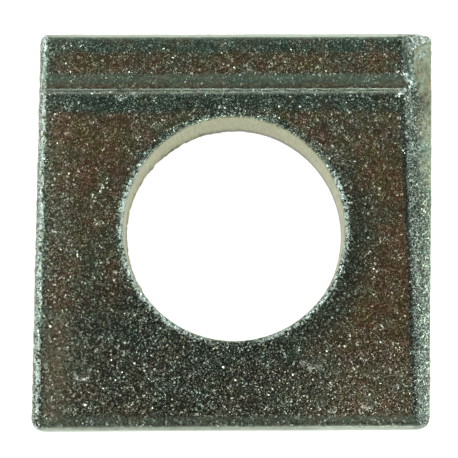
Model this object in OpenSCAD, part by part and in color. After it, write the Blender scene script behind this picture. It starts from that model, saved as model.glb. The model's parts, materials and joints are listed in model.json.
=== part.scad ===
// Square taper washer: a piece sheared from a hot-rolled wedge bar and punched with a round bore.
// Lengths are in millimetres and angles in degrees.
// The flat base lies on the plane z = 0 and the bore's axis is the Z axis.
// The bar was rolled along X, and its thick edge faces +Y.

/* [Wedge bar] */
// Mean width along the bar, between the two sheared ends
washer_w = 32.3; // [26:0.1:60]
// Depth across the bar, from the thin edge to the thick edge
washer_d = 32; // [27:0.5:44]
// Height of the thick edge
thick_edge_h = 7.5; // [6:0.1:12]
// Fall of the sloped face across the bar, in percent
slope_percent = 14; // [5:0.5:14]
// Radius of the bar's four rolled long edges
rolled_edge_r = 0.45; // [0.2:0.05:0.8]

/* [Groove] */
// Distance from the thick edge to the middle of the groove, along the sloped face
groove_inset = 4.1; // [2.5:0.1:5]
// Width of the groove between the outer ends of its two lips
groove_w = 1.6; // [1.2:0.1:2.2]
// Tilt of the groove's steep wall, on the side of the thin edge
groove_wall_tilt = 25; // [20:1:40]
// Width of that wall, seen square to the sloped face
groove_wall_w = 0.42; // [0.3:0.02:0.6]
// Radius of the groove's long hollow floor
groove_floor_r = 6; // [3:0.5:12]
// Radius of the rounded lip on each side of the groove
groove_lip_r = 0.5; // [0.2:0.05:0.8]

/* [Sheared ends] */
// Lean of the left end out of square with the bar
left_end_lean = 1.5; // [0:0.1:3]
// Lean of the right end out of square with the bar
right_end_lean = 0.7; // [0:0.1:3]
// Width of the edge that the shear drew in, as a share of the bar's thickness there
drawn_edge_share = 0.48; // [0.3:0.01:0.52]
// Radius of that edge as a share of the thickness, over its width so that it meets the end at an angle
drawn_round_share = 0.88; // [0.7:0.01:1.2]
// Radius of the edge on the shear's burr side, as a share of the bar's thickness there
burr_edge_share = 0.1; // [0.04:0.01:0.12]
// Corner radius at the thick edge, seen from above
thick_corner_r = 0.8; // [0.3:0.1:1.6]
// Corner radius at the thin edge, seen from above
thin_corner_r = 1; // [0.3:0.1:1.6]

/* [Torn corner] */
// Reach of the smooth facet's plane along the thick edge, from the right end's thick corner
facet_run = 2.4; // [2:0.1:2.8]
// Reach of the smooth facet's plane along the right end, from the same corner
facet_reach = 13.6; // [11:0.1:17]
// Reach of the smooth facet's plane down the same corner
facet_drop = 1.7; // [1.5:0.1:2]
// Distance from that corner, along the right end, to where the facet starts to run out
facet_inset = 2.5; // [2:0.1:3.2]
// Radius in which the facet runs out towards the corner
facet_end_r = 3; // [2:0.5:5]

/* [Bore] */
// Diameter of the punched bore
bore_d = 18; // [10:0.5:22]
// Distance of the bore's axis from the middle of the depth, towards the thick edge
bore_offset = 0.2; // [-0.5:0.1:0.5]
// Width of the rounded rim where the punch entered the sloped face
rim_w = 0.35; // [0.2:0.05:0.6]
// Height of the flare where the slug broke out through the base
breakout_h = 1.2; // [0.6:0.1:1.6]
// Growth of the bore's radius down that flare
breakout_flare = 0.12; // [0.05:0.01:0.2]

/* [Hidden] */
$fn = 96;
steel_colour = [0.62, 0.65, 0.62];
// Length by which a cutting shape runs on through open space
over = 1;
// Size of each rounding over one that would only touch its faces, so that it meets them in a clean line
lap = 1.01;

slope_angle = atan(slope_percent / 100);
thin_edge_h = thick_edge_h - washer_d * slope_percent / 100;
// Distances across the bar from the vertex, the line in which the sloped face would meet the base
thick_run = thick_edge_h * 100 / slope_percent;
thin_run = thick_run - washer_d;
mid_run = thick_run - washer_d / 2;
bore_run = mid_run + bore_offset;
// Length of the sloped face from the vertex to the thick edge
slope_run = thick_run / cos(slope_angle);
// Length of a bar that runs past both leaning ends
bar_l = washer_w + 2 * washer_d * tan(max(left_end_lean, right_end_lean)) + 2 * over;
bore_r = bore_d / 2;
// Height of the sloped face on the bore's axis
axis_h = bore_run * slope_percent / 100;
// Radius of the punched rim's rounding, a little over its width because the bore leans to the face
rim_r = rim_w * 1.15;

// Unit vector along v
function unit(v) = v / norm(v);

// The sliver between an outline's corner p and the arc that rounds it, for sides that leave p along a and b
module corner_sliver(p, a, b, r) {
    half_angle = acos(a * b) / 2;
    inward = unit(a + b);
    centre = p + inward * r / sin(half_angle);
    tangent_length = r / tan(half_angle);
    off_a = unit(a * (a * b) - b);
    off_b = unit(b * (a * b) - a);
    difference() {
        polygon([
            centre,
            p + a * tangent_length + off_a * over,
            p - inward * 2 * over,
            p + b * tangent_length + off_b * over
        ]);
        translate(centre) circle(r * lap);
    }
}

// Cross-section of the groove, with the sloped face along X and the steep wall's upper end at the origin
module groove_section() {
    root = groove_wall_w * [1, -tan(groove_wall_tilt)];
    floor_end = [groove_w, 0];
    chord = floor_end - root;
    middle = (root + floor_end) / 2;
    floor_centre = middle + unit([-chord.y, chord.x]) * sqrt(pow(groove_floor_r, 2) - chord * chord / 4);
    floor_radius_end = unit(floor_end - floor_centre);
    down_floor = [floor_radius_end.y, -floor_radius_end.x];
    down_wall = unit(root);
    away = [1, 0];
    intersection() {
        polygon([-down_wall * over, root + down_wall * over, floor_end + away * over, [groove_w, over]]);
        translate(floor_centre) circle(groove_floor_r);
    }
    corner_sliver([0, 0], -away, down_wall, groove_lip_r);
    corner_sliver(floor_end, away, down_floor, groove_lip_r);
}

// Cross-section of the bar, with the distance from the vertex along X and the height along Y
module bar_section() {
    thin_base = [thin_run, 0];
    thick_base = [thick_run, 0];
    thick_top = [thick_run, thick_edge_h];
    thin_top = [thin_run, thin_edge_h];
    inward = [1, 0];
    up = [0, 1];
    down_slope = unit(thin_top - thick_top);
    difference() {
        translate(thin_base) square([washer_d, thick_edge_h + over]);
        rotate(slope_angle) square([slope_run + over, thick_edge_h]);
        corner_sliver(thin_base, inward, up, rolled_edge_r);
        corner_sliver(thick_base, -inward, up, rolled_edge_r);
        corner_sliver(thick_top, down_slope, -up, rolled_edge_r);
        corner_sliver(thin_top, -down_slope, -up, rolled_edge_r);
        rotate(slope_angle) translate([slope_run - groove_inset - groove_w / 2, 0]) groove_section();
    }
}

// The rolled bar, running on past both ends of the washer, with the vertex along the X axis
module bar() {
    rotate([90, 0, 90]) linear_extrude(bar_l, center = true) bar_section();
}

// Frame of the right end: from the vertex along the end's foot is +Y, and outwards is +X
module at_end(lean) {
    translate([washer_w / 2 - mid_run * tan(lean), 0, 0]) rotate([0, 0, -lean]) children();
}

// What lies beyond the right end, with the plan's two corners there
module beyond_end(lean) {
    inward = [-cos(lean), -sin(lean)];
    end_up = [0, 1];
    at_end(lean)
        translate([0, 0, -over])
            linear_extrude(thick_edge_h + 2 * over) {
                square([washer_d, slope_run + washer_d]);
                corner_sliver([0, thick_run / cos(lean)], inward, -end_up, thick_corner_r);
                corner_sliver([0, thin_run / cos(lean)], inward, end_up, thin_corner_r);
            }
}

// What a cone from the vertex rounds off along an edge, with its width and radius as shares of the thickness
module edge_roll(width_share, round_share) {
    inset_angle = atan(width_share * slope_percent / 100);
    round_angle = atan(round_share * slope_percent / 100);
    cone_l = slope_run + 2 * over;
    rotate([-round_angle, 0, inset_angle])
        difference() {
            cube([thick_edge_h, slope_run + over, thick_edge_h]);
            rotate([-90, 0, 0]) cylinder(h = cone_l, r1 = 0, r2 = cone_l * tan(round_angle) * lap);
        }
}

// The edge that the shear drew in
module drawn_edge() {
    edge_roll(drawn_edge_share, drawn_round_share);
}

// The edge on the shear's burr side
module burr_edge() {
    edge_roll(burr_edge_share, burr_edge_share);
}

// What the smooth facet takes off: a block on the plane of its three reaches, with a round end by the corner
module facet_cut() {
    facet_normal = [1 / facet_run, 1 / facet_reach, 1 / facet_drop];
    level = norm([facet_normal.x, facet_normal.y]);
    at_end(right_end_lean)
        rotate([slope_angle, 0, 0])
            translate([0, slope_run, 0])
                rotate([0, -atan2(facet_normal.z, level), atan2(facet_normal.y, facet_normal.x)])
                    translate([-1 / norm(facet_normal), -facet_inset, 0])
                        linear_extrude(washer_d, center = true) {
                            translate([0, -washer_d]) square(washer_d);
                            translate([facet_end_r, 0]) circle(facet_end_r);
                        }
}

// The bore with its flare towards the base
module bore_cut() {
    flare_slope = breakout_flare / breakout_h;
    rotate_extrude()
        polygon([
            [0, -over],
            [bore_r + breakout_flare + over * flare_slope, -over],
            [bore_r, breakout_h],
            [bore_r, thick_edge_h + over],
            [0, thick_edge_h + over]
        ]);
}

// What the punch drew in round the bore's mouth, square to the sloped face
module rim_cut() {
    translate([0, 0, axis_h])
        rotate([slope_angle, 0, 0])
            rotate_extrude()
                difference() {
                    translate([0, -rim_r]) square([bore_r + rim_w, rim_r + over]);
                    translate([bore_r + rim_w, -rim_r]) circle(rim_r * lap);
                }
}

// The piece of bar that the shear cut off, before its edges are rounded
module sheared_blank() {
    difference() {
        bar();
        beyond_end(right_end_lean);
        mirror([1, 0, 0]) beyond_end(-left_end_lean);
    }
}

// The same piece with its drawn-in edges, on the sloped face at the right end and on the base at the left
module drawn_blank() {
    difference() {
        sheared_blank();
        at_end(right_end_lean) {
            rotate([slope_angle, 0, 0]) drawn_edge();
            mirror([0, 0, 1]) burr_edge();
        }
        mirror([1, 0, 0])
            at_end(-left_end_lean) {
                rotate([slope_angle, 0, 0]) burr_edge();
                mirror([0, 0, 1]) drawn_edge();
            }
    }
}

module taper_washer() {
    color(steel_colour)
        difference() {
            translate([0, -bore_run, 0])
                difference() {
                    drawn_blank();
                    facet_cut();
                }
            bore_cut();
            rim_cut();
        }
}

taper_washer();
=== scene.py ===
"""Square taper washer: the plated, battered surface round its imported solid, on a white studio floor."""
import json
import math

import bpy
import numpy as np
from mathutils import Matrix, Vector


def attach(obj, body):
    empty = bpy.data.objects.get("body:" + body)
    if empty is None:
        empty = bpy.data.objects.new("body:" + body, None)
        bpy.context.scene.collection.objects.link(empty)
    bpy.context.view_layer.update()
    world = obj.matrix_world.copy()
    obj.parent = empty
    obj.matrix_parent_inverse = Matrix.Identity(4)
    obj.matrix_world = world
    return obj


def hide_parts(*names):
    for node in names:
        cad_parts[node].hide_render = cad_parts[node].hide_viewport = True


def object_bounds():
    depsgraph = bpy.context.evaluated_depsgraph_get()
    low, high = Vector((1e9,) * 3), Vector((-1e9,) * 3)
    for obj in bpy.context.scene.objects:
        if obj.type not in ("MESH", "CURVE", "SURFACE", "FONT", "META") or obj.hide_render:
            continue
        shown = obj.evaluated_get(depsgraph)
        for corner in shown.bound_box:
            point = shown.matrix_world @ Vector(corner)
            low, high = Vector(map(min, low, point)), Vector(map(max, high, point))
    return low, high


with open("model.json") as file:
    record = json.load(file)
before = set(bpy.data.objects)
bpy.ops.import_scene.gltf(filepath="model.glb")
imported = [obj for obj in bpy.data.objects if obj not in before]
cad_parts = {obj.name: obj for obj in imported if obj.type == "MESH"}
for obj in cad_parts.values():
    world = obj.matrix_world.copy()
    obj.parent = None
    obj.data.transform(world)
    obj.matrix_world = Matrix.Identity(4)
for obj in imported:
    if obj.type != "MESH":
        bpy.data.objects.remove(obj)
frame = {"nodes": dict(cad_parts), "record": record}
cad_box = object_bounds()

bl_info = {
    "name": "Square Taper Washer",
    "version": (1, 0, 0),
    "blender": (4, 5, 0),
    "location": "3D View > Sidebar > Taper Washer",
    "description": "Models a zinc-plated square taper washer round its packed solid",
    "category": "Object",
}

NODE = "taper_washer"
SLOT = "zinc_plated_steel"
MM = 0.001
MOUNTS = {mount["name"]: mount for mount in frame["record"]["mounts"]}
SLOPE_NORMAL = Vector(MOUNTS["sloped_face"]["axis"]).normalized()
SLOPE_POINT = Vector(MOUNTS["sloped_face"]["pos_m"])
# Uphill on the sloped face, towards the thick edge
UPHILL = Vector((0, SLOPE_NORMAL.z, -SLOPE_NORMAL.y))
# Where the bore's axis meets the sloped face
FACE_CENTRE = Vector((0, 0, SLOPE_POINT.dot(SLOPE_NORMAL) / SLOPE_NORMAL.z))

# Depth of the floor under the flat base, so that the two don't share a plane, and the floor's width
FLOOR_GAP = 0.02 * MM
FLOOR_WIDTH = 3
# The camera's place across from the bore's axis, and its swing round the uphill line and its roll, in degrees
CAMERA_ACROSS = -0.41 * MM
CAMERA_SWING = -0.9
CAMERA_ROLL = -0.2
SENSOR_WIDTH = 36
# The nearest and the furthest that the camera shows, in metres
CAMERA_CLIP = (10 * MM, 10)
# Each soft light's name, place and width in metres, and power
LIGHTS = (
    ("left_light", (-0.38, 0.05, 0.25), 0.09, 0.35),
    ("back_light", (0.1, 0.38, 0.25), 0.08, 0.2),
    ("front_light", (0.05, -0.4, 0.25), 0.08, 0.2),
    ("right_light", (0.4, -0.1, 0.22), 0.08, 0.15),
)
# Where the middle of the dark round the lens lies, off the sloped face's normal across and uphill
LENS_ACROSS = 0.02
LENS_UPHILL = -0.08
# The light tent's brightness by the angle from there, in degrees
TENT_LEVELS = (
    (0, 0.015), (4, 0.022), (8, 0.042), (14, 0.08), (25, 0.16), (45, 0.34), (60, 0.6), (75, 0.95), (90, 1.2),
    (120, 1.2))

# From here on, the sizes on the washer are in millimetres and its angles in degrees
BORE_R = MOUNTS["bolt_hole"]["dims"]["r_mm"]
# Lean of the two sheared ends
LEFT_LEAN = 1.5
RIGHT_LEAN = 0.7
# Width of the drawn edge where it shows on top of the right end, as a share of the washer's thickness there
DRAWN_SHARE = 0.355
# The torn facet's reaches along the thick edge, along the right end and down the corner
FACET_REACHES = (2.4, 13.6, 1.7)
# Where the facet starts to run out towards the thick edge, and the radius in which it does
FACET_INSET = 2.5
FACET_END_R = 3.0
# How far from the thick edge the facet reaches, and the sharp part of its inner outline
FACET_END = 9.0
OUTLINE_END = 6.5
# Centre and radius of the round nose in which the drawn edge closes the groove, across from the bore's axis
NOSE_CENTRE = 13.2
NOSE_R = 0.85
# Where the two polished lines of the groove's lip lie, uphill from the bore's axis, half their width, and half the
# width of their full part
LIP_LINES = ((11.04, 0.17), (11.37, 0.08))
LINE_CORE = 0.02
# Corners of the solid's mesh that are nearer than this are one
MERGE_DISTANCE = 0.001

# How squarely a surface faces a way, as a share, where a zone of it starts and from which it is full
TOP_FACING = (0.3, 0.75)
BASE_FACING = (0.6, 0.9)
WALL_FACING = (0.6, 0.85)
BORE_FACING = (0.75, 0.4)
RIM_FACING = (0.25, 0.6)
GROOVE_FACING = (0.1, 0.4)
ROLLED_FACING = (0.1, 0.3)
# A ramp is the distance where a zone starts and the distance from which it is full
BORE_RAMP = (0.7, 0.3)
RIM_RAMP = (0.9, 0.3)
ROLLED_RAMP = (0.75, 0.55)
BAND_RAMP = (0.1, -0.15)
GROOVE_END_RAMP = (0.08, -0.08)
FACET_RAMP = (0.07, 0.03)
OUTLINE_RAMP = (0.16, 0.1)
LUMP_RAMP = (2.9, 1.4)
THIN_CORNER_RAMP = (1.5, 0.7)
LEFT_KNOCKS_RAMP = (0.8, 0.2)
LEFT_ROUGH_RAMP = (0.9, 0.3)
WORN_LEFT_RAMP = (3.6, 1.6)
RIDGE_RAMP = (4.6, 4.0)
FOLD_SHADE_RAMP = (4.2, 4.6)
RIM_LINE_RAMP = (0.45, 0.3)
# A stripe is the four distances where it starts, is full, is no longer full and ends: from the left end, from the
# thin edge, from the drawn edge's inner boundary, from the groove's middle towards the thin edge, from the nose's
# curve, and up from the base
LEFT_LINE = (0.25, 0.35, 0.5, 0.62)
LOW_LEFT_STRIPE = (0.6, 1.2, 1.9, 4.0)
THIN_LINE = (0.35, 0.45, 0.55, 0.68)
INNER_BAND = (-0.9, -0.6, -0.15, 0.0)
BAND_LINE = (-0.15, 0.05, 0.2, 0.4)
STEEP_WALL = (0.15, 0.42, 0.68, 0.78)
BELOW_LIP = (0.7, 0.9, 1.9, 2.7)
NOSE_RIM = (0.0, 0.1, 0.45, 0.7)
BREAKOUT_STRIPE = (0.0, 0.4, 1.3, 2.4)
# An oval on the sloped face is its centre across and uphill, its two radii, and a ramp in shares of them
# The grey oval below the bore is also darkened with painted shade
GREY_OVAL = (-3, -10, 10, 7, 1.5, 0.4)
RUSTY_OVAL = (-11, 7, 4, 4, 1.4, 0.6)

# Dents that the photograph shows on the sloped face: across, uphill, radius and depth
FACE_DENTS = (
    (-12.4, -11.5, 0.75, 0.11),
    (6.4, -10.6, 0.9, 0.11),
    (10.8, -14.1, 0.6, 0.07),
    (13.2, -9.8, 0.35, 0.05),
    (11.2, -11.6, 0.35, 0.04),
    (7.6, 6.6, 0.3, 0.06),
    (9.3, 10.1, 0.45, 0.05),
    (-9.1, 11.0, 0.5, 0.1),
    (-7.9, 11.1, 0.35, 0.07),
    (-15.0, 5.2, 0.3, 0.05),
    (-13.5, 8.5, 0.35, 0.04),
    (-8.6, -6.5, 0.5, 0.04),
    (3.0, -12.6, 0.6, 0.04),
)
DEEPEST_DENT = max(dent[3] for dent in FACE_DENTS)
# The lightest weight at which a vertex joins a group
LEAST_WEIGHT = 0.004
# A dent this deep or deeper flashes on its lower rim, a stripe in shares of the dent's radius
FLASHING_DENT = 0.07
DENT_RIM = (0.6, 0.85, 0.95, 1.2)

# How blue-green the brown field is, how much more in the grey oval and how much less where it is rusty
FIELD_COOL = 0.36
GREY_COOL = 0.27
RUSTY_WARM = 0.22
# How blue-green the sides and ends are, and the dark line inside the drawn edge
WALL_COOL = 0.55
BAND_LINE_COOL = 0.95
# Shade of the bore's flare
FLARE_SHADE = 0.55

# Mottles in the plating, from noise: its size, its detail and roughness, the two levels of the noise between which
# the mottle turns, and what it turns from and to
MOTTLES = {
    "clusters": (0.9, 3.0, 0.6, 0.5, 0.66, 0.0, 1.0),
    "spots": (0.27, 1.0, 0.5, 0.44, 0.5, 0.0, 1.0),
    "patches": (2.6, 4.0, 0.65, 0.35, 0.65, -0.28, 0.22),
    "olive": (1.4, 2.0, 0.5, 0.4, 0.6, 0.0, 1.0),
    "stains": (0.9, 3.0, 0.6, 0.45, 0.65, 0.0, 0.7),
    "blotches": (0.25, 2.0, 0.6, 0.35, 0.65, 0.6, 1.4),
    # Painted glint dabs: lighter spots of painted highlight on battered plate, with painted shade between them
    "painted_glint_dabs": (0.17, 2.0, 0.6, 0.5, 0.6, 0.0, 1.0),
    "scuffs": (0.35, 3.0, 0.7, 0.42, 0.62, 0.0, 0.45),
    "torn_metal": (0.5, 3.0, 0.6, 0.3, 0.7, 0.0, 0.6),
    "line_wander": (0.5, 3.0, 0.7, 0.2, 0.8, -0.07, 0.07),
    "line_breaks": (0.9, 3.0, 0.7, 0.35, 0.6, 0.5, 1.0),
    "sheen": (0.3, 2.0, 0.6, 0.3, 0.7, -0.04, 0.06),
}
# The two sizes of crystal: how rare a steep one is, how steep the flattest is and how much steeper the steepest
FINE_CRYSTALS = (11.0, 0.07, 1.2)
COARSE_CRYSTALS = (15.0, 0.0, 2.0)
# How steep the crystals stand between their clusters, and how much more in them
PLAIN_STEEPNESS = 0.52
CLUSTER_STEEPNESS = 0.95
# What is left of the crystals' height where the plate is smooth
SMOOTH_GRAIN = 0.06
# Heights of the lip's polished lines and of the shear and rolling marks
LINE_HEIGHT = 0.012
MARK_HEIGHT = 0.03
# How the marks are drawn out, as scales of the noise along the three axes, and their size
SHEAR_MARKS = ((7, 7, 0.5), 1.2)
ROLLING_MARKS = ((0.2, 2, 2), 0.8)
WIPING_STREAKS = ((9, 1, 1), 1.5)
# Depth into the cut, as a share of the thickness, at which the burnished cut turns into the torn break, and how
# far the line between them wanders
BREAK_DEPTH = (0.58, 0.64)
BREAK_WANDER = 0.35
BREAK_WANDER_SIZE = 1.3
# The clusters' share in the blue-green patches, and what is left of the patches on dull plate
CLUSTER_PATCHES = 0.25
DULL_PATCHES = 0.2
# Darkness that each cause adds, and the most that they add up to. The marks and streaks turn dark between two
# levels of their noise, and the streaks up to the last number
CRYSTAL_TONE = 0.55
CLUSTER_DARK = 0.12
# Painted shade between the battered plate's painted glint dabs
SHADE_BETWEEN_DABS = 0.55
MARK_LEVELS = (0.4, 0.7)
MARK_DARK = 0.35
STREAK_DARK = (0.35, 0.7, 0.0, 0.35)
MOST_DARK = 0.9
# Shares of bare zinc on the crystals, from one steepness to another, and on the lip's lines, and of painted
# highlight on the battered dabs and on the beads
BARE_CRYSTALS = (0.12, 0.55, 0.0, 0.75)
BARE_LINES = 0.8
DAB_HIGHLIGHT = 0.4
BEAD_HIGHLIGHT = 0.9
# Shares of stain on the bore's wall and the facet, of side plating on the sheared ends, and of added roughness on
# dull plate
WALL_STAINS = 0.3
FACET_STAINS = 1.3
END_SMOOTHNESS = 0.6
DULL_ROUGHNESS = 0.2


class WasherShape(bpy.types.PropertyGroup):
    cell: bpy.props.FloatProperty(
        name="Cell", description="Side of one face of the fine mesh", default=0.172 * MM, subtype="DISTANCE")
    groove_inset: bpy.props.FloatProperty(
        name="Groove inset", description="From the thick edge to the groove's middle, along the sloped face",
        default=4.1 * MM, subtype="DISTANCE")
    groove_width: bpy.props.FloatProperty(
        name="Groove width", description="Width of the groove with its two lips", default=1.6 * MM,
        subtype="DISTANCE")
    peel_height: bpy.props.FloatProperty(
        name="Peel height", description="Height of the rolled surface's slow undulation", default=0.03 * MM,
        subtype="DISTANCE")
    pit_depth: bpy.props.FloatProperty(
        name="Pit depth", description="Depth of the small scale pits", default=0.015 * MM, subtype="DISTANCE")
    batter_depth: bpy.props.FloatProperty(
        name="Batter depth", description="Depth of the knocks along the drawn and torn edges",
        default=0.16 * MM, subtype="DISTANCE")
    fracture_depth: bpy.props.FloatProperty(
        name="Fracture depth", description="Depth of the torn zones on the sheared ends",
        default=0.12 * MM, subtype="DISTANCE")
    breakout_burr: bpy.props.FloatProperty(
        name="Break-out burr", description="Height of the ragged metal in the bore where the slug broke out",
        default=0.25 * MM, subtype="DISTANCE")


class WasherFinish(bpy.types.PropertyGroup):
    warm_plate: bpy.props.FloatVectorProperty(
        name="Warm plate", description="Plating where it has gone red-brown", subtype="COLOR",
        default=(0.80, 0.45, 0.25))
    olive_plate: bpy.props.FloatVectorProperty(
        name="Olive plate", description="Plating where it has gone olive-brown", subtype="COLOR",
        default=(0.70, 0.55, 0.23))
    cool_plate: bpy.props.FloatVectorProperty(
        name="Cool plate", description="Plating near the edges, with a green and blue cast", subtype="COLOR",
        default=(0.36, 0.57, 0.43))
    # Also the colour that the painted shade darkens the plate towards
    dark_plate_and_shade: bpy.props.FloatVectorProperty(
        name="Dark plate", description="Dark mottle in the grain", subtype="COLOR", default=(0.07, 0.07, 0.055))
    warm_glint: bpy.props.FloatVectorProperty(
        name="Warm glint", description="Bright zinc of the crystals that stand out in the brown", subtype="COLOR",
        default=(0.60, 0.66, 0.53))
    cool_glint: bpy.props.FloatVectorProperty(
        name="Cool glint", description="Bright zinc of the crystals that stand out near the edges",
        subtype="COLOR", default=(0.57, 0.69, 0.56))
    clean_plate: bpy.props.FloatVectorProperty(
        name="Clean plate", description="Smooth plating of the bore's wall", subtype="COLOR",
        default=(0.42, 0.435, 0.25))
    strip_plate: bpy.props.FloatVectorProperty(
        name="Strip plate", description="Smooth plating of the rolled long edges and sides", subtype="COLOR",
        default=(0.45, 0.51, 0.42))
    facet_plate: bpy.props.FloatVectorProperty(
        name="Facet plate", description="Wiped plating of the torn facet", subtype="COLOR",
        default=(0.375, 0.465, 0.32))
    facet_stain: bpy.props.FloatVectorProperty(
        name="Facet stain", description="Yellow stains on the torn facet and the bore's wall", subtype="COLOR",
        default=(0.48, 0.42, 0.25))
    # Painted highlight: a near-white colour mixed onto the bright beads so that they flash, beside their bumps
    painted_highlight: bpy.props.FloatVectorProperty(
        name="Spark plate", description="Polished plating of the few knocks and edges that flash",
        subtype="COLOR", default=(0.80, 0.99, 0.92))
    grain_size: bpy.props.FloatProperty(
        name="Grain size", description="Width of one crystal of the plating", default=0.062 * MM,
        subtype="DISTANCE")
    glint_size: bpy.props.FloatProperty(
        name="Glint size", description="Width of the few large crystals that glint", default=0.13 * MM,
        subtype="DISTANCE")
    bead_size: bpy.props.FloatProperty(
        name="Bead size", description="Width of the bright beads along the knocked edges", default=0.23 * MM,
        subtype="DISTANCE")
    roughness: bpy.props.FloatProperty(
        name="Roughness", description="Roughness of one crystal's face", default=0.21, min=0, max=1,
        subtype="FACTOR")


class Studio(bpy.types.PropertyGroup):
    camera_distance: bpy.props.FloatProperty(
        name="Camera distance", description="From the lens to the sloped face", default=150 * MM,
        subtype="DISTANCE")
    view_width: bpy.props.FloatProperty(
        name="View width", description="Width of the picture on the sloped face", default=37.24 * MM,
        subtype="DISTANCE")
    floor_colour: bpy.props.FloatVectorProperty(
        name="Floor", description="Colour of the floor", subtype="COLOR", default=(0.9, 0.9, 0.9))
    floor_glow: bpy.props.FloatProperty(
        name="Floor glow", description="Light that the floor gives off by itself, like a light table",
        default=0.85, min=0)


def smooth_step(low, high, value):
    """0 below low, 1 above high and an even curve between them. With low above high it falls instead."""
    t = np.clip((value - low) / (high - low), 0, 1)
    return t * t * (3 - 2 * t)


def stripe(value, start, full, past_full, end):
    """1 from full to past_full, with even curves down to 0 at start and at end."""
    return smooth_step(start, full, value) * smooth_step(end, past_full, value)


def total(*weighted):
    """The sum of several zones, each at its weight, held between 0 and 1."""
    return np.clip(sum(weight * zone for weight, zone in weighted), 0, 1)


def strongest(*weighted):
    """The highest of several zones, each at its weight."""
    return np.max([weight * zone for weight, zone in weighted], axis=0)


def select_none():
    bpy.ops.object.select_all(action="DESELECT")


def select_only(obj):
    select_none()
    obj.select_set(True)
    bpy.context.view_layer.objects.active = obj


def apply_modifier(obj, name, kind, **settings):
    """Adds one modifier with these settings and applies it."""
    modifier = obj.modifiers.new(name, kind)
    for key, value in settings.items():
        setattr(modifier, key, value)
    bpy.ops.object.modifier_apply(modifier=modifier.name)


def cloud_texture(name, size, depth, contrast):
    texture = bpy.data.textures.new(name, "CLOUDS")
    texture.noise_scale = size
    texture.noise_depth = depth
    texture.contrast = contrast
    return texture


def vertex_group(obj, name, weights):
    """A group of the vertices whose weight counts, which leaves out those too light to show."""
    group = obj.vertex_groups.new(name=name)
    for index in np.nonzero(weights > LEAST_WEIGHT)[0].tolist():
        group.add([index], float(weights[index]), "REPLACE")


def read_vectors(vertices, name):
    values = np.empty(len(vertices) * 3)
    vertices.foreach_get(name, values)
    return values.reshape(-1, 3)


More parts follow.
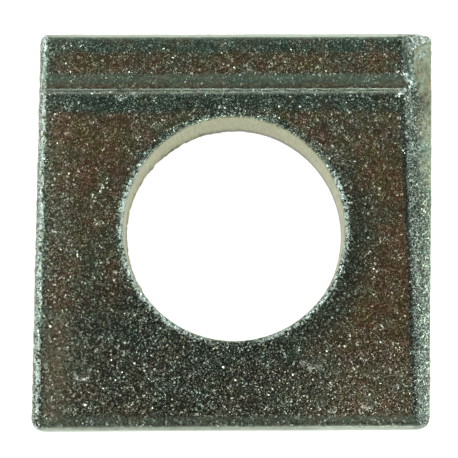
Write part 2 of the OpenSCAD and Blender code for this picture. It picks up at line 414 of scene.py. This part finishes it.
class Surface:
    """Where each vertex of the washer lies on it, in millimetres, and which way it faces. Its zones are shares
    from 0 to 1."""

    def __init__(self, mesh, shape):
        self.place = read_vectors(mesh.vertices, "co") / MM
        self.facing = read_vectors(mesh.vertices, "normal")
        face_centre = np.array(FACE_CENTRE) / MM
        from_centre = self.place - face_centre
        self.across, along, self.level = self.place.T
        self.uphill = from_centre @ np.array(UPHILL)
        self.height = from_centre @ np.array(SLOPE_NORMAL)
        self.tilt = self.facing @ np.array(SLOPE_NORMAL)
        self.radius = np.hypot(self.across, along)
        self.from_bore = self.radius - BORE_R
        low, high = (np.array(corner) / MM for corner in cad_box)
        thick_edge = high[1] / SLOPE_NORMAL.z
        self.to_thick = thick_edge - self.uphill
        self.to_thin = self.uphill - low[1] / SLOPE_NORMAL.z
        # Distance from the groove's middle, towards the thin edge
        self.below_groove = self.to_thick - shape.groove_inset / MM
        self.groove_half = shape.groove_width / MM / 2
        # The ends lean: the right one is furthest out at the thick edge, and the left one at the thin edge
        self.to_right = high[0] - self.across - (high[1] - along) * math.tan(math.radians(RIGHT_LEAN))
        self.to_left = self.across - low[0] - (along - low[1]) * math.tan(math.radians(LEFT_LEAN))
        thickness = face_centre[2] + along * UPHILL.z / UPHILL.y
        self.to_band = self.to_right - DRAWN_SHARE * thickness
        # Depth into the cut from the edge that the shear drew in, on top at the right end and below at the left
        risen = self.level / thickness
        self.cut_depth = np.where(self.across > 0, 1 - risen, risen)

    def on_top(self):
        return smooth_step(*TOP_FACING, self.tilt)

    def on_base(self):
        return smooth_step(*BASE_FACING, -self.facing[:, 2])

    def in_bore(self):
        upright = smooth_step(*BORE_FACING, np.abs(self.facing[:, 2]))
        return smooth_step(*BORE_RAMP, self.from_bore) * upright

    def on_rim(self):
        return smooth_step(*RIM_RAMP, self.from_bore) * smooth_step(*RIM_FACING, self.tilt)

    def on_wall(self, axis):
        """The outer walls that face along one axis: 0 for the sheared ends and 1 for the rolled sides."""
        return smooth_step(*WALL_FACING, np.abs(self.facing[:, axis])) * (self.from_bore > 1.5)

    def on_rolled_edge(self):
        """The rounded long edges on top, where the face turns down to the two sides."""
        near = smooth_step(*ROLLED_RAMP, np.minimum(self.to_thick, self.to_thin))
        turned = smooth_step(*ROLLED_FACING, np.abs(self.facing @ np.array(UPHILL)))
        return near * turned * (self.facing[:, 2] > -0.3)

    def in_drawn_band(self):
        return smooth_step(*BAND_RAMP, self.to_band) * self.on_top()

    def past_nose(self):
        """Distance past the curve in which the groove ends at the drawn edge."""
        return self.across - NOSE_CENTRE - np.sqrt(np.maximum(NOSE_R ** 2 - self.below_groove ** 2, 0))

    def in_groove(self):
        near = smooth_step(self.groove_half + 0.1, self.groove_half - 0.15, np.abs(self.below_groove))
        closed = smooth_step(*GROOVE_END_RAMP, self.past_nose())
        return near * smooth_step(*GROOVE_FACING, self.tilt) * closed

    def on_nose(self):
        """Where the shear closed the groove's right end."""
        return stripe(self.past_nose(), *NOSE_RIM) * (np.abs(self.below_groove) < NOSE_R + 0.15)

    def off_facet(self):
        """Distance from the plane of the facet's three reaches, with the round end in which it runs out."""
        run, reach, drop = FACET_REACHES
        level = self.to_right / run + self.to_thick / reach - self.height / drop
        run_out = np.maximum(FACET_INSET - self.to_thick, 0) ** 2 / (2 * FACET_END_R)
        return np.abs((1 - level) / Vector((1 / run, 1 / reach, 1 / drop)).length - run_out)

    def on_facet(self):
        return smooth_step(*FACET_RAMP, self.off_facet()) * self.on_top() * (self.to_thick < FACET_END)

    def beside_facet(self):
        """The strip of the drawn edge along the facet's inner outline."""
        near = smooth_step(*OUTLINE_RAMP, self.off_facet()) * (self.to_thick < OUTLINE_END)
        return near * smooth_step(0.5, 0.9, self.to_right) * self.on_top() * (1 - self.on_facet())

    def at_torn_corner(self):
        return smooth_step(*LUMP_RAMP, np.hypot(self.to_right, self.to_thick))

    def towards(self, right, up):
        """1 straight ahead of the bore's axis in a direction on the face, 0 beside it and -1 behind it."""
        return (right * self.across + up * self.uphill) / self.radius

    def in_oval(self, across, uphill, width, height, outer, inner):
        apart = np.hypot((self.across - across) / width, (self.uphill - uphill) / height)
        return smooth_step(outer, inner, apart)


def dent_bowls(surface):
    """Depth of the dents as a share of the deepest one, each a bowl with a soft edge."""
    bowls = np.zeros(len(surface.place))
    for across, uphill, radius, depth in FACE_DENTS:
        apart = np.hypot(surface.across - across, surface.uphill - uphill) / radius
        bowl = np.clip(1 - apart ** 2, 0, 1) * (surface.tilt > 0.3)
        bowls = np.maximum(bowls, bowl * depth / DEEPEST_DENT)
    return bowls


def dent_rims(surface):
    """The lower rims of the deeper dents, which flash as crescents through their beads and painted highlight."""
    rims = np.zeros(len(surface.place))
    for across, uphill, radius, depth in FACE_DENTS:
        if depth >= FLASHING_DENT:
            right, up = (surface.across - across) / radius, (surface.uphill - uphill) / radius
            below = smooth_step(0.1, 0.6, -0.3 * right - 0.95 * up)
            rims = np.maximum(rims, stripe(np.hypot(right, up), *DENT_RIM) * below)
    return rims


def shape_washer(shape):
    """The washer's fine mesh: a copy of the solid, remeshed, then worn as rolling, shearing and use left it."""
    mesh = frame["nodes"][NODE].data.copy()
    washer = bpy.data.objects.new("plated_washer", mesh)
    bpy.context.scene.collection.objects.link(washer)
    select_only(washer)
    bpy.ops.object.mode_set(mode="EDIT")
    bpy.ops.mesh.select_all(action="SELECT")
    bpy.ops.mesh.remove_doubles(threshold=MERGE_DISTANCE * MM)
    bpy.ops.mesh.normals_make_consistent(inside=False)
    bpy.ops.object.mode_set(mode="OBJECT")
    apply_modifier(washer, "fine_mesh", "REMESH", mode="VOXEL", voxel_size=shape.cell)

    surface = Surface(mesh, shape)
    facet = surface.on_facet()
    bore = surface.in_bore()
    upper_left = smooth_step(-0.2, 0.8, surface.towards(-0.95, 0.3))
    broken = smooth_step(0.4, 0.55, surface.cut_depth)
    groups = {
        "rolled": 1 - bore,
        "battered": total(
            (0.35, surface.in_drawn_band()), (1, surface.at_torn_corner() * (1 - facet)), (0.22, facet),
            (0.7, surface.on_nose() * surface.on_top()), (0.5, surface.on_rim()),
            (0.15, smooth_step(*LEFT_KNOCKS_RAMP, surface.to_left))),
        "torn": (0.2 + 0.4 * broken) * surface.on_wall(0) * (1 - facet),
        "breakout": bore * stripe(surface.level, *BREAKOUT_STRIPE) * (0.1 + 0.9 * upper_left),
        "dents": dent_bowls(surface),
    }
    for name, weights in groups.items():
        vertex_group(washer, name, weights)

    # Each kind of wear: its texture's size, depth and contrast, its height, the level that stays, and its group
    wear = {
        "peel": (1.8, 2, 1.0, shape.peel_height, 0.5, "rolled"),
        "swell": (6.0, 1, 1.0, shape.peel_height * 2, 0.5, "rolled"),
        "pits": (0.55, 1, 2.5, shape.pit_depth, 0.5, "rolled"),
        "batter": (0.5, 2, 1.5, shape.batter_depth, 0.5, "battered"),
        "fracture": (0.5, 3, 1.4, shape.fracture_depth, 0.5, "torn"),
        "breakout": (0.6, 2, 1.4, shape.breakout_burr, 0.0, "breakout"),
    }
    for name, (size, depth, contrast, height, still, group) in wear.items():
        apply_modifier(washer, name, "DISPLACE", texture=cloud_texture(name, size * MM, depth, contrast),
                       strength=height, mid_level=still, vertex_group=group)
    apply_modifier(washer, "dents", "DISPLACE", strength=-DEEPEST_DENT * MM, mid_level=0, vertex_group="dents")
    keep_in_box(mesh)
    bpy.ops.object.shade_smooth()
    write_masks(mesh, shape)
    washer.vertex_groups.clear()
    return washer


def keep_in_box(mesh):
    """Presses what stands out of the solid's box back onto it, as a bench does to a burr."""
    low, high = (np.array(corner) for corner in cad_box)
    mesh.vertices.foreach_set("co", np.clip(read_vectors(mesh.vertices, "co"), low, high).ravel())
    mesh.update()


class Zones:
    """The parts of the surface that differ in finish, each as a share from 0 to 1 at every vertex."""

    def __init__(self, surface):
        self.top = surface.on_top()
        self.base = surface.on_base()
        self.bore = surface.in_bore()
        self.rim = surface.on_rim()
        self.facet = surface.on_facet()
        self.ends = surface.on_wall(0) * (1 - self.facet)
        self.sides = surface.on_wall(1)
        self.rolled_edge = surface.on_rolled_edge()
        self.thin_corner = smooth_step(*THIN_CORNER_RAMP, np.hypot(surface.to_right, surface.to_thin))
        self.smooth_side = total((0.8, self.sides), (1, self.rolled_edge), (0.5, self.thin_corner))
        self.groove = surface.in_groove()
        self.nose = surface.on_nose()
        self.lump = surface.at_torn_corner() * (1 - self.facet) * self.top
        self.outline = surface.beside_facet()
        # The drawn edge, whose outer part is wiped smoother towards the torn corner, as all of it is at the top
        self.band = surface.in_drawn_band()
        self.upper_band = self.band * smooth_step(11.2, 12.4, surface.uphill) * (1 - self.lump)
        outer_band = self.band * smooth_step(0, 6, surface.uphill) * smooth_step(-0.7, -1.2, surface.to_band)
        self.wiped_band = np.maximum(outer_band, 0.8 * self.upper_band)
        # Redder plate by the right end, and in one place at the upper left
        rusty_right = smooth_step(6, 11, surface.across) * stripe(surface.uphill, -16, -11, 6, 9)
        self.rusty = np.maximum(rusty_right, surface.in_oval(*RUSTY_OVAL)) * self.top
        # The lowest part of the face, with more glints, and its two sides, which are smoother
        self.low_glints = smooth_step(-8, -10.5, surface.uphill) * smooth_step(1.0, 1.3, surface.to_thin)
        self.low_right = (smooth_step(4, 9, surface.across) * smooth_step(-9, -12, surface.uphill)
                          * self.top * (1 - self.band))
        self.low_left = stripe(surface.to_left, *LOW_LEFT_STRIPE) * smooth_step(-4, -8, surface.uphill) * self.top
        self.worn_left = smooth_step(*WORN_LEFT_RAMP, surface.to_left) * (1 - self.groove) * self.top


def rough_mask(surface, zones):
    """Where the crystals stand steep and the plate is battered."""
    left_edge = smooth_step(*LEFT_ROUGH_RAMP, surface.to_left)
    knocked = total((1, zones.rim), (1, left_edge * zones.top), (1, zones.nose * zones.top), (1, zones.band))
    knocked = knocked * (1 - zones.rolled_edge) * (1 - zones.groove)
    knocked = np.maximum(knocked, zones.lump) * (1 - zones.facet)
    low_line = smooth_step(0.3, 0.1, np.abs(surface.to_thin - 1.6)) * smooth_step(1, 3, surface.across)
    above_groove = smooth_step(0.2, 0.05, np.abs(surface.below_groove + 0.85))
    rough = total(
        (1, knocked), (0.45, zones.worn_left * smooth_step(-12, -6, surface.uphill)), (0.6, low_line * zones.top),
        (0.4, above_groove * zones.top), (0.35, zones.low_glints * zones.top))
    return rough * (1 - 0.45 * zones.wiped_band)


def glint_mask(surface, zones):
    """Where bright beads sit, as bumps with a painted highlight on them: thin lines along the left end and the
    rim, the nose, the lump and the knocks.
    """
    below_top = smooth_step(0.75, 0.35, surface.towards(0, 1))
    rim_line = (smooth_step(*RIM_LINE_RAMP, surface.from_bore) * below_top * smooth_step(0.2, 0.5, surface.tilt)
                * smooth_step(0.1, 0.45, np.abs(surface.towards(1, 0))))
    inner_band = zones.band * stripe(surface.to_band, *INNER_BAND) * (1 - zones.upper_band)
    ridge = zones.outline * smooth_step(*RIDGE_RAMP, surface.to_thick)
    return zones.top * total(
        (1, stripe(surface.to_left, *LEFT_LINE)), (1, rim_line), (1, zones.nose), (0.22, inner_band),
        (0.8, zones.lump * (1 - zones.facet)), (0.5, dent_rims(surface)), (0.4, ridge))


def tint_masks(surface, zones):
    """How blue-green the plate is, from brown, and how much darker than its tint, mostly as painted shade."""
    top, band, groove = zones.top, zones.band, zones.groove
    # The brown field is neutral in an oval below the bore, and redder where it is rusty
    grey_and_shaded_oval = surface.in_oval(*GREY_OVAL)
    cool = FIELD_COOL + GREY_COOL * grey_and_shaded_oval - RUSTY_WARM * zones.rusty
    # It is blue-green beside the edges, the lip and the bore
    right_or_low = smooth_step(-0.2, 0.7, surface.towards(0.7, -0.7))
    wide_ring = smooth_step(3.2, 0.8, surface.from_bore) * smooth_step(0.3, 1.0, right_or_low)
    near_ring = smooth_step(1.3, 0.5, surface.from_bore) * (0.25 + 0.65 * right_or_low)
    below_lip = stripe(surface.below_groove, *BELOW_LIP)
    edges = (
        (strongest((1, near_ring), (1, zones.rim), (0.7, wide_ring)), 0.93),
        (below_lip, 0.93),
        (smooth_step(1.9, 1.3, surface.to_thick), 0.88),
        (smooth_step(1.3, 0.9, surface.to_thin), 0.75),
        (smooth_step(1.6, 0.4, surface.to_left), 0.8),
        (band, 1.0),
        (zones.wiped_band * (1 - zones.upper_band), 0.72),
        (groove, 0.5),
        (groove * smooth_step(0.2, -0.15, surface.below_groove), 0.85),
        (groove * smooth_step(0.3, 0.45, surface.below_groove), 0.85),
    )
    for zone, level in edges:
        cool = cool + zone * top * (level - cool)
    cool = cool + (1 - top) * (WALL_COOL - cool)
    cool = cool - 0.03 * zones.low_left
    # Dark lines of painted shade where the flat face turns down at the thin edge and at the drawn edge; the drawn
    # edge's line is also blue-green
    thin_line = stripe(surface.to_thin, *THIN_LINE) * top
    band_line = stripe(surface.to_band, *BAND_LINE) * (1 - groove)
    cool = cool + band_line * (BAND_LINE_COOL - cool)

    # Painted shade over the grey oval below the bore and the lowest part of the field, and darker plate in a wide
    # ring beside the bore towards the lower right
    low_field = smooth_step(-9, -11.5, surface.uphill) * top * (1 - zones.low_right)
    field_shade = strongest((0.42, grey_and_shaded_oval), (0.32, wide_ring), (0.22, low_field)) * (1 - zones.low_left)
    steep_wall = groove * stripe(surface.below_groove, *STEEP_WALL)
    fold_shade = zones.outline * smooth_step(*FOLD_SHADE_RAMP, surface.to_thick)
    # Painted shade below the lip, on the drawn edge, on the groove's steep wall and along the facet's outline,
    # with the two dark lines
    painted_shade_and_tone = top * strongest(
        (1, field_shade), (0.2, below_lip), (0.24, band * (1 - zones.wiped_band)), (0.6, steep_wall), (0.5, fold_shade),
        (0.35, thin_line), (0.42, band_line * top))
    flare = zones.bore * smooth_step(1.8, 1.4, surface.level)
    return cool, np.maximum(painted_shade_and_tone, FLARE_SHADE * flare)


def smoothness_masks(surface, zones):
    """How much of the crystals' grain is left, and how dull and even the plate is."""
    upper_field = smooth_step(12.6, 13.2, surface.uphill) * (1 - zones.band) * zones.top
    grain = 1 - (0.35 * zones.groove + 0.75 * zones.facet + 0.9 * zones.bore + 0.5 * zones.sides
                 + 0.85 * zones.rolled_edge + 0.5 * zones.thin_corner
                 + 0.22 * zones.rusty * (1 - zones.low_glints) + 0.2 * upper_field)
    low_band = smooth_step(1.25, 1.0, surface.to_thin) * zones.top
    dull = strongest(
        (1, zones.bore), (1, zones.smooth_side), (1, zones.facet), (0.6, zones.base), (0.5, zones.groove),
        (0.65, low_band), (0.2, zones.worn_left), (0.12, zones.low_right), (0.4, zones.low_left),
        (0.35, zones.wiped_band))
    return grain, dull


def write_masks(mesh, shape):
    """Writes the point attributes that the material reads, each a share from 0 to 1."""
    surface = Surface(mesh, shape)
    zones = Zones(surface)
    cool, painted_shade_and_tone = tint_masks(surface, zones)
    grain, dull = smoothness_masks(surface, zones)
    masks = {
        "grain": grain,
        "cool": cool,
        "painted_shade_and_tone": painted_shade_and_tone,
        "clean": zones.bore,
        "smooth_side": zones.smooth_side,
        "facet": zones.facet,
        "rough": rough_mask(surface, zones),
        "dull": dull,
        "glint": glint_mask(surface, zones),
        "ends": zones.ends,
        "sides": zones.sides,
        "cut": surface.cut_depth,
        "lip": (1 - zones.band) * zones.top,
    }
    for name, values in masks.items():
        attribute = mesh.attributes.new(name, "FLOAT", "POINT")
        attribute.data.foreach_set("value", np.clip(values, 0, 1).astype(np.float32))


def set_input(tree, socket, value):
    """Links a socket to the input, or sets a plain value on it."""
    if isinstance(value, bpy.types.NodeSocket):
        tree.links.new(value, socket)
    else:
        socket.default_value = value


def add_node(tree, kind, *numbered, settings=None, **named):
    """One shader node, with its inputs in their order or by name, where _ stands for a space."""
    node = tree.nodes.new(kind)
    for key, value in (settings or {}).items():
        setattr(node, key, value)
    for index, value in enumerate(numbered):
        set_input(tree, node.inputs[index], value)
    for key, value in named.items():
        set_input(tree, node.inputs[key.replace("_", " ")], value)
    return node


def arithmetic(tree, operation, *values, clamp=False):
    settings = {"operation": operation, "use_clamp": clamp}
    return add_node(tree, "ShaderNodeMath", *values, settings=settings).outputs[0]


def joined(tree, operation, values):
    """The same arithmetic over several values, one after another."""
    result = values[0]
    for value in values[1:]:
        result = arithmetic(tree, operation, result, value)
    return result


def times(tree, *values):
    return joined(tree, "MULTIPLY", values)


def plus(tree, *values):
    return joined(tree, "ADD", values)


def highest(tree, *values):
    return joined(tree, "MAXIMUM", values)


def times_plus(tree, value, factor, added):
    return arithmetic(tree, "MULTIPLY_ADD", value, factor, added)


def vectors(tree, operation, *values):
    node = add_node(tree, "ShaderNodeVectorMath", *values, settings={"operation": operation})
    return node.outputs["Value" if operation == "DOT_PRODUCT" else "Vector"]


def spread(tree, value, low, high, out_low=0.0, out_high=1.0):
    """Maps low to high of a value onto out_low to out_high, and holds it there."""
    return add_node(tree, "ShaderNodeMapRange", value, low, high, out_low, out_high).outputs[0]


def noise(tree, place, size, detail, roughness):
    return add_node(tree, "ShaderNodeTexNoise", Vector=place, Scale=1 / (size * MM), Detail=detail,
                    Roughness=roughness).outputs["Fac"]


def mottle(tree, place, name):
    size, detail, roughness, low, high, out_low, out_high = MOTTLES[name]
    return spread(tree, noise(tree, place, size, detail, roughness), low, high, out_low, out_high)


def drawn_noise(tree, place, scales, size):
    """Noise drawn out along an axis, by scaling that axis down."""
    drawn = add_node(tree, "ShaderNodeMapping", Vector=place, Scale=scales).outputs[0]
    return noise(tree, drawn, size, 3.0, 0.65)


def mask(tree, name):
    return add_node(tree, "ShaderNodeAttribute", settings={"attribute_name": name}).outputs["Fac"]


def mix_colour(tree, factor, first, second):
    """Turns the first colour into the second, each a socket or three plain values."""
    node = add_node(tree, "ShaderNodeMix", settings={"data_type": "RGBA"})
    set_input(tree, node.inputs[0], factor)
    for index, colour in ((6, first), (7, second)):
        plain = not isinstance(colour, bpy.types.NodeSocket)
        set_input(tree, node.inputs[index], (*colour, 1) if plain else colour)
    return node.outputs[2]


def cells(tree, place, size):
    """Cells side by side: the middle of each, the place seen from there, and a lean of its own for each."""
    cell = add_node(tree, "ShaderNodeTexVoronoi", Vector=place, Scale=1 / size)
    middle = cell.outputs["Position"]
    lean = vectors(tree, "SUBTRACT", cell.outputs["Color"], (0.5, 0.5, 0.5))
    return middle, vectors(tree, "SUBTRACT", place, middle), lean


def crystals(tree, place, size, rarity, least, added):
    """Small planes side by side, with slopes from the least up to that and the added one. Gives their height, how
    steep each is as a share, which is small on all but a few, and a number from 0 to 1 for each."""
    middle, offset, lean = cells(tree, place, size)
    chance = add_node(tree, "ShaderNodeTexWhiteNoise", settings={"noise_dimensions": "3D"}, Vector=middle)
    share = arithmetic(tree, "POWER", chance.outputs["Value"], rarity)
    number = add_node(tree, "ShaderNodeSeparateColor", Color=chance.outputs["Color"]).outputs["Green"]
    height = times(tree, vectors(tree, "DOT_PRODUCT", offset, lean), times_plus(tree, share, added, least))
    return height, share, number


def beads(tree, place, size):
    """Height of planes side by side that all lean equally far, each its own way."""
    _, offset, lean = cells(tree, place, size)
    return vectors(tree, "DOT_PRODUCT", offset, vectors(tree, "NORMALIZE", lean))


def lip_lines(tree, place):
    """The two thin polished lines along the groove's lip, ragged and broken, as a share from 0 to 1."""
    uphill = times_plus(tree, mottle(tree, place, "line_wander"), MM, vectors(tree, "DOT_PRODUCT", place, UPHILL))
    lines = []
    for line, half_width in LIP_LINES:
        from_line = arithmetic(tree, "SUBTRACT", uphill, line * MM + FACE_CENTRE.dot(UPHILL))
        lines.append(spread(tree, arithmetic(tree, "ABSOLUTE", from_line), half_width * MM, LINE_CORE * MM))
    return times(tree, highest(tree, *lines), mottle(tree, place, "line_breaks"), mask(tree, "lip"))


def sheared_zones(tree, place):
    """On the sheared ends, the burnished cut next to the drawn edge and the torn break beyond, as two shares."""
    wander = noise(tree, place, BREAK_WANDER_SIZE, 3.0, 0.6)
    beyond = spread(tree, times_plus(tree, wander, BREAK_WANDER, mask(tree, "cut")), *BREAK_DEPTH)
    ends = mask(tree, "ends")
    torn = times(tree, ends, beyond)
    return arithmetic(tree, "SUBTRACT", ends, torn), torn


def plated_steel(finish):
    """Zinc plate over rolled steel: small tilted crystals with brown and blue-green stains, smooth where wiped,
    with painted shade and painted highlights.
    """
    material = bpy.data.materials.new(SLOT)
    material.use_nodes = True
    tree = material.node_tree
    tree.nodes.clear()
    place = add_node(tree, "ShaderNodeTexCoord").outputs["Object"]
    grain, cool, painted_shade_and_tone, clean, facet, rough, dull, sides = (
        mask(tree, name) for name in ("grain", "cool", "painted_shade_and_tone", "clean", "facet", "rough", "dull", "sides"))
    clusters = mottle(tree, place, "clusters")
    glint = times(tree, mask(tree, "glint"), mottle(tree, place, "spots"))
    fine, fine_share, number = crystals(tree, place, finish.grain_size, *FINE_CRYSTALS)
    coarse, coarse_share, _ = crystals(tree, place, finish.glint_size, *COARSE_CRYSTALS)
    lines = lip_lines(tree, place)
    burnished, torn = sheared_zones(tree, place)
    marks = plus(tree, times(tree, drawn_noise(tree, place, *SHEAR_MARKS), burnished),
                 times(tree, drawn_noise(tree, place, *ROLLING_MARKS), sides))

    # The crystals stand steep in scattered clusters and where the plate is battered or torn
    steepness = plus(tree, times_plus(tree, clusters, CLUSTER_STEEPNESS, PLAIN_STEEPNESS),
                     highest(tree, rough, torn))
    height = times(tree, plus(tree, fine, coarse), steepness, spread(tree, grain, 0.0, 1.0, SMOOTH_GRAIN, 1.0))
    height = times_plus(tree, lines, LINE_HEIGHT * MM, height)
    height = times_plus(tree, glint, beads(tree, place, finish.bead_size), height)
    height = times_plus(tree, marks, MARK_HEIGHT * MM, height)
    bump = add_node(tree, "ShaderNodeBump", Strength=1.0, Distance=1.0, Height=height).outputs["Normal"]

    # Brown and blue-green stains in broad patches, which fade where the plate is dull, then the smooth zones
    patches = times(tree, times_plus(tree, clusters, CLUSTER_PATCHES, mottle(tree, place, "patches")),
                    spread(tree, dull, 0.0, 1.0, 1.0, DULL_PATCHES))
    cooler = arithmetic(tree, "ADD", cool, patches, clamp=True)
    colour = mix_colour(tree, mottle(tree, place, "olive"), finish.warm_plate, finish.olive_plate)
    colour = mix_colour(tree, cooler, colour, finish.cool_plate)
    stains = mottle(tree, place, "stains")
    wall_plate = mix_colour(tree, times(tree, stains, WALL_STAINS), finish.clean_plate, finish.facet_stain)
    colour = mix_colour(tree, clean, colour, wall_plate)
    smooth_side = highest(tree, mask(tree, "smooth_side"), times(tree, mask(tree, "ends"), END_SMOOTHNESS))
    colour = mix_colour(tree, smooth_side, colour, finish.strip_plate)
    wiped_plate = mix_colour(tree, times(tree, stains, FACET_STAINS), finish.facet_plate, finish.facet_stain)
    colour = mix_colour(tree, facet, colour, wiped_plate)

    # A dark tone of its own on each crystal, painted shade and darker tone, streaks and scuffs, and painted shade
    # between the battered plate's painted glint dabs
    streaks = spread(tree, drawn_noise(tree, place, *WIPING_STREAKS), *STREAK_DARK)
    painted_glint_dabs = mottle(tree, place, "painted_glint_dabs")
    shade_between_glint_dabs = times(tree, arithmetic(tree, "SUBTRACT", SHADE_BETWEEN_DABS, painted_glint_dabs), rough)
    darkness_and_shade = plus(
        tree,
        times(tree, number, CRYSTAL_TONE, grain),
        times(tree, painted_shade_and_tone, mottle(tree, place, "blotches")),
        times(tree, streaks, highest(tree, facet, clean)),
        times(tree, mottle(tree, place, "scuffs"), facet),
        times(tree, spread(tree, marks, *MARK_LEVELS), MARK_DARK),
        times(tree, torn, mottle(tree, place, "torn_metal")),
        times_plus(tree, clusters, CLUSTER_DARK, shade_between_glint_dabs))
    darkness_and_shade = arithmetic(tree, "MINIMUM", highest(tree, darkness_and_shade, 0.0), MOST_DARK)
    colour = mix_colour(tree, darkness_and_shade, colour, finish.dark_plate_and_shade)

    # Bare zinc on the steepest crystals and the lip's lines, a painted highlight on the battered plate's dabs, and
    # a painted highlight on the beads
    steep = times(tree, highest(tree, fine_share, coarse_share), grain)
    bare = highest(tree, spread(tree, steep, *BARE_CRYSTALS), times(tree, lines, BARE_LINES),
                   times(tree, painted_glint_dabs, rough, DAB_HIGHLIGHT))
    colour = mix_colour(tree, bare, colour, mix_colour(tree, cooler, finish.warm_glint, finish.cool_glint))
    colour = mix_colour(tree, times(tree, glint, BEAD_HIGHLIGHT), colour, finish.painted_highlight)

    roughness = times_plus(tree, dull, DULL_ROUGHNESS, plus(tree, mottle(tree, place, "sheen"), finish.roughness))
    shader = add_node(tree, "ShaderNodeBsdfPrincipled", Base_Color=colour, Metallic=1.0, Roughness=roughness,
                      Normal=bump)
    add_node(tree, "ShaderNodeOutputMaterial", Surface=shader.outputs["BSDF"])
    return material


class WASHER_OT_plated_washer(bpy.types.Operator):
    """Model the washer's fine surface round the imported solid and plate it"""
    bl_idname = "washer.plated_washer"
    bl_label = "Plated Washer"
    bl_options = {"REGISTER", "UNDO"}

    def execute(self, context):
        scene = context.scene
        washer = shape_washer(scene.washer_shape)
        washer.data.materials.clear()
        washer.data.materials.append(plated_steel(scene.washer_finish))
        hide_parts(NODE)
        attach(washer, "root")
        return {"FINISHED"}


def studio_floor(colour, glow):
    select_none()
    bpy.ops.mesh.primitive_grid_add(
        x_subdivisions=4, y_subdivisions=4, size=FLOOR_WIDTH, location=(0, 0, -FLOOR_GAP))
    floor = bpy.context.object
    floor.name = "studio_floor"
    material = bpy.data.materials.new("pale_floor")
    material.use_nodes = True
    shader = material.node_tree.nodes["Principled BSDF"]
    shader.inputs["Base Color"].default_value = (*colour, 1)
    shader.inputs["Roughness"].default_value = 0.9
    shader.inputs["Emission Color"].default_value = (1, 1, 1, 1)
    shader.inputs["Emission Strength"].default_value = glow
    floor.data.materials.append(material)


def soft_light(name, place, width, power):
    """A square soft light that faces the washer."""
    bpy.ops.object.light_add(type="AREA", location=place)
    light = bpy.context.object
    light.name = name
    light.data.size = width
    light.data.energy = power
    light.rotation_euler = (-Vector(place)).to_track_quat("-Z", "Y").to_euler()


def studio_world():
    """A light tent with a lens above it: dark round the lens, brighter all the way down to the horizon."""
    world = bpy.data.worlds.new("light_tent")
    bpy.context.scene.world = world
    world.use_nodes = True
    tree = world.node_tree
    tree.nodes.clear()
    lens = (SLOPE_NORMAL + Vector((LENS_ACROSS, 0, 0)) + LENS_UPHILL * UPHILL).normalized()
    direction = add_node(tree, "ShaderNodeTexCoord").outputs["Generated"]
    closeness = vectors(tree, "DOT_PRODUCT", direction, lens)
    angle = arithmetic(tree, "DEGREES", arithmetic(tree, "ARCCOSINE", closeness))
    ramp = add_node(tree, "ShaderNodeValToRGB", Fac=arithmetic(tree, "DIVIDE", angle, 180))
    elements = ramp.color_ramp.elements
    while len(elements) < len(TENT_LEVELS):
        elements.new(0.5)
    for element, (degrees, level) in zip(elements, TENT_LEVELS):
        element.position = degrees / 180
        element.color = (level, level, level, 1)
    background = add_node(tree, "ShaderNodeBackground", Color=ramp.outputs["Color"], Strength=1.0)
    add_node(tree, "ShaderNodeOutputWorld", Surface=background.outputs["Background"])


def photo_camera(distance, view_width):
    """A camera almost square to the sloped face, a little to the left of the bore, as the photograph was taken."""
    data = bpy.data.cameras.new("photo_camera")
    camera = bpy.data.objects.new("photo_camera", data)
    bpy.context.scene.collection.objects.link(camera)
    swing = Matrix.Rotation(math.radians(CAMERA_SWING), 3, UPHILL)
    camera.location = FACE_CENTRE + Vector((CAMERA_ACROSS, 0, 0)) + swing @ SLOPE_NORMAL * distance
    square = Matrix((Vector((1, 0, 0)), UPHILL, SLOPE_NORMAL)).transposed()
    roll = Matrix.Rotation(math.radians(CAMERA_ROLL), 3, "Z")
    camera.rotation_euler = (swing @ square @ roll).to_euler()
    data.sensor_width = SENSOR_WIDTH
    data.lens = SENSOR_WIDTH * distance / view_width
    data.clip_start, data.clip_end = CAMERA_CLIP
    bpy.context.scene.camera = camera


class WASHER_OT_studio(bpy.types.Operator):
    """Add the pale floor, the soft light and the camera"""
    bl_idname = "washer.studio"
    bl_label = "Studio"
    bl_options = {"REGISTER", "UNDO"}

    def execute(self, context):
        studio = context.scene.washer_studio
        studio_floor(studio.floor_colour, studio.floor_glow)
        studio_world()
        for light in LIGHTS:
            soft_light(*light)
        photo_camera(studio.camera_distance, studio.view_width)
        context.scene.view_settings.view_transform = "Standard"
        return {"FINISHED"}


class WASHER_PT_panel(bpy.types.Panel):
    bl_label = "Taper Washer"
    bl_idname = "WASHER_PT_panel"
    bl_space_type = "VIEW_3D"
    bl_region_type = "UI"
    bl_category = "Taper Washer"

    def draw(self, context):
        layout = self.layout
        scene = context.scene
        for group in (scene.washer_shape, scene.washer_finish, scene.washer_studio):
            box = layout.box()
            for name in group.bl_rna.properties.keys():
                if name not in ("rna_type", "name"):
                    box.prop(group, name)
        for operator in OPERATORS:
            layout.operator(operator.bl_idname)


OPERATORS = (WASHER_OT_plated_washer, WASHER_OT_studio)
CLASSES = (WasherShape, WasherFinish, Studio, *OPERATORS, WASHER_PT_panel)


def register():
    for cls in CLASSES:
        bpy.utils.register_class(cls)
    bpy.types.Scene.washer_shape = bpy.props.PointerProperty(type=WasherShape)
    bpy.types.Scene.washer_finish = bpy.props.PointerProperty(type=WasherFinish)
    bpy.types.Scene.washer_studio = bpy.props.PointerProperty(type=Studio)


def unregister():
    del bpy.types.Scene.washer_studio
    del bpy.types.Scene.washer_finish
    del bpy.types.Scene.washer_shape
    for cls in reversed(CLASSES):
        bpy.utils.unregister_class(cls)


def main():
    register()
    bpy.ops.washer.plated_washer()
    bpy.ops.washer.studio()


if __name__ == "__main__":
    main()
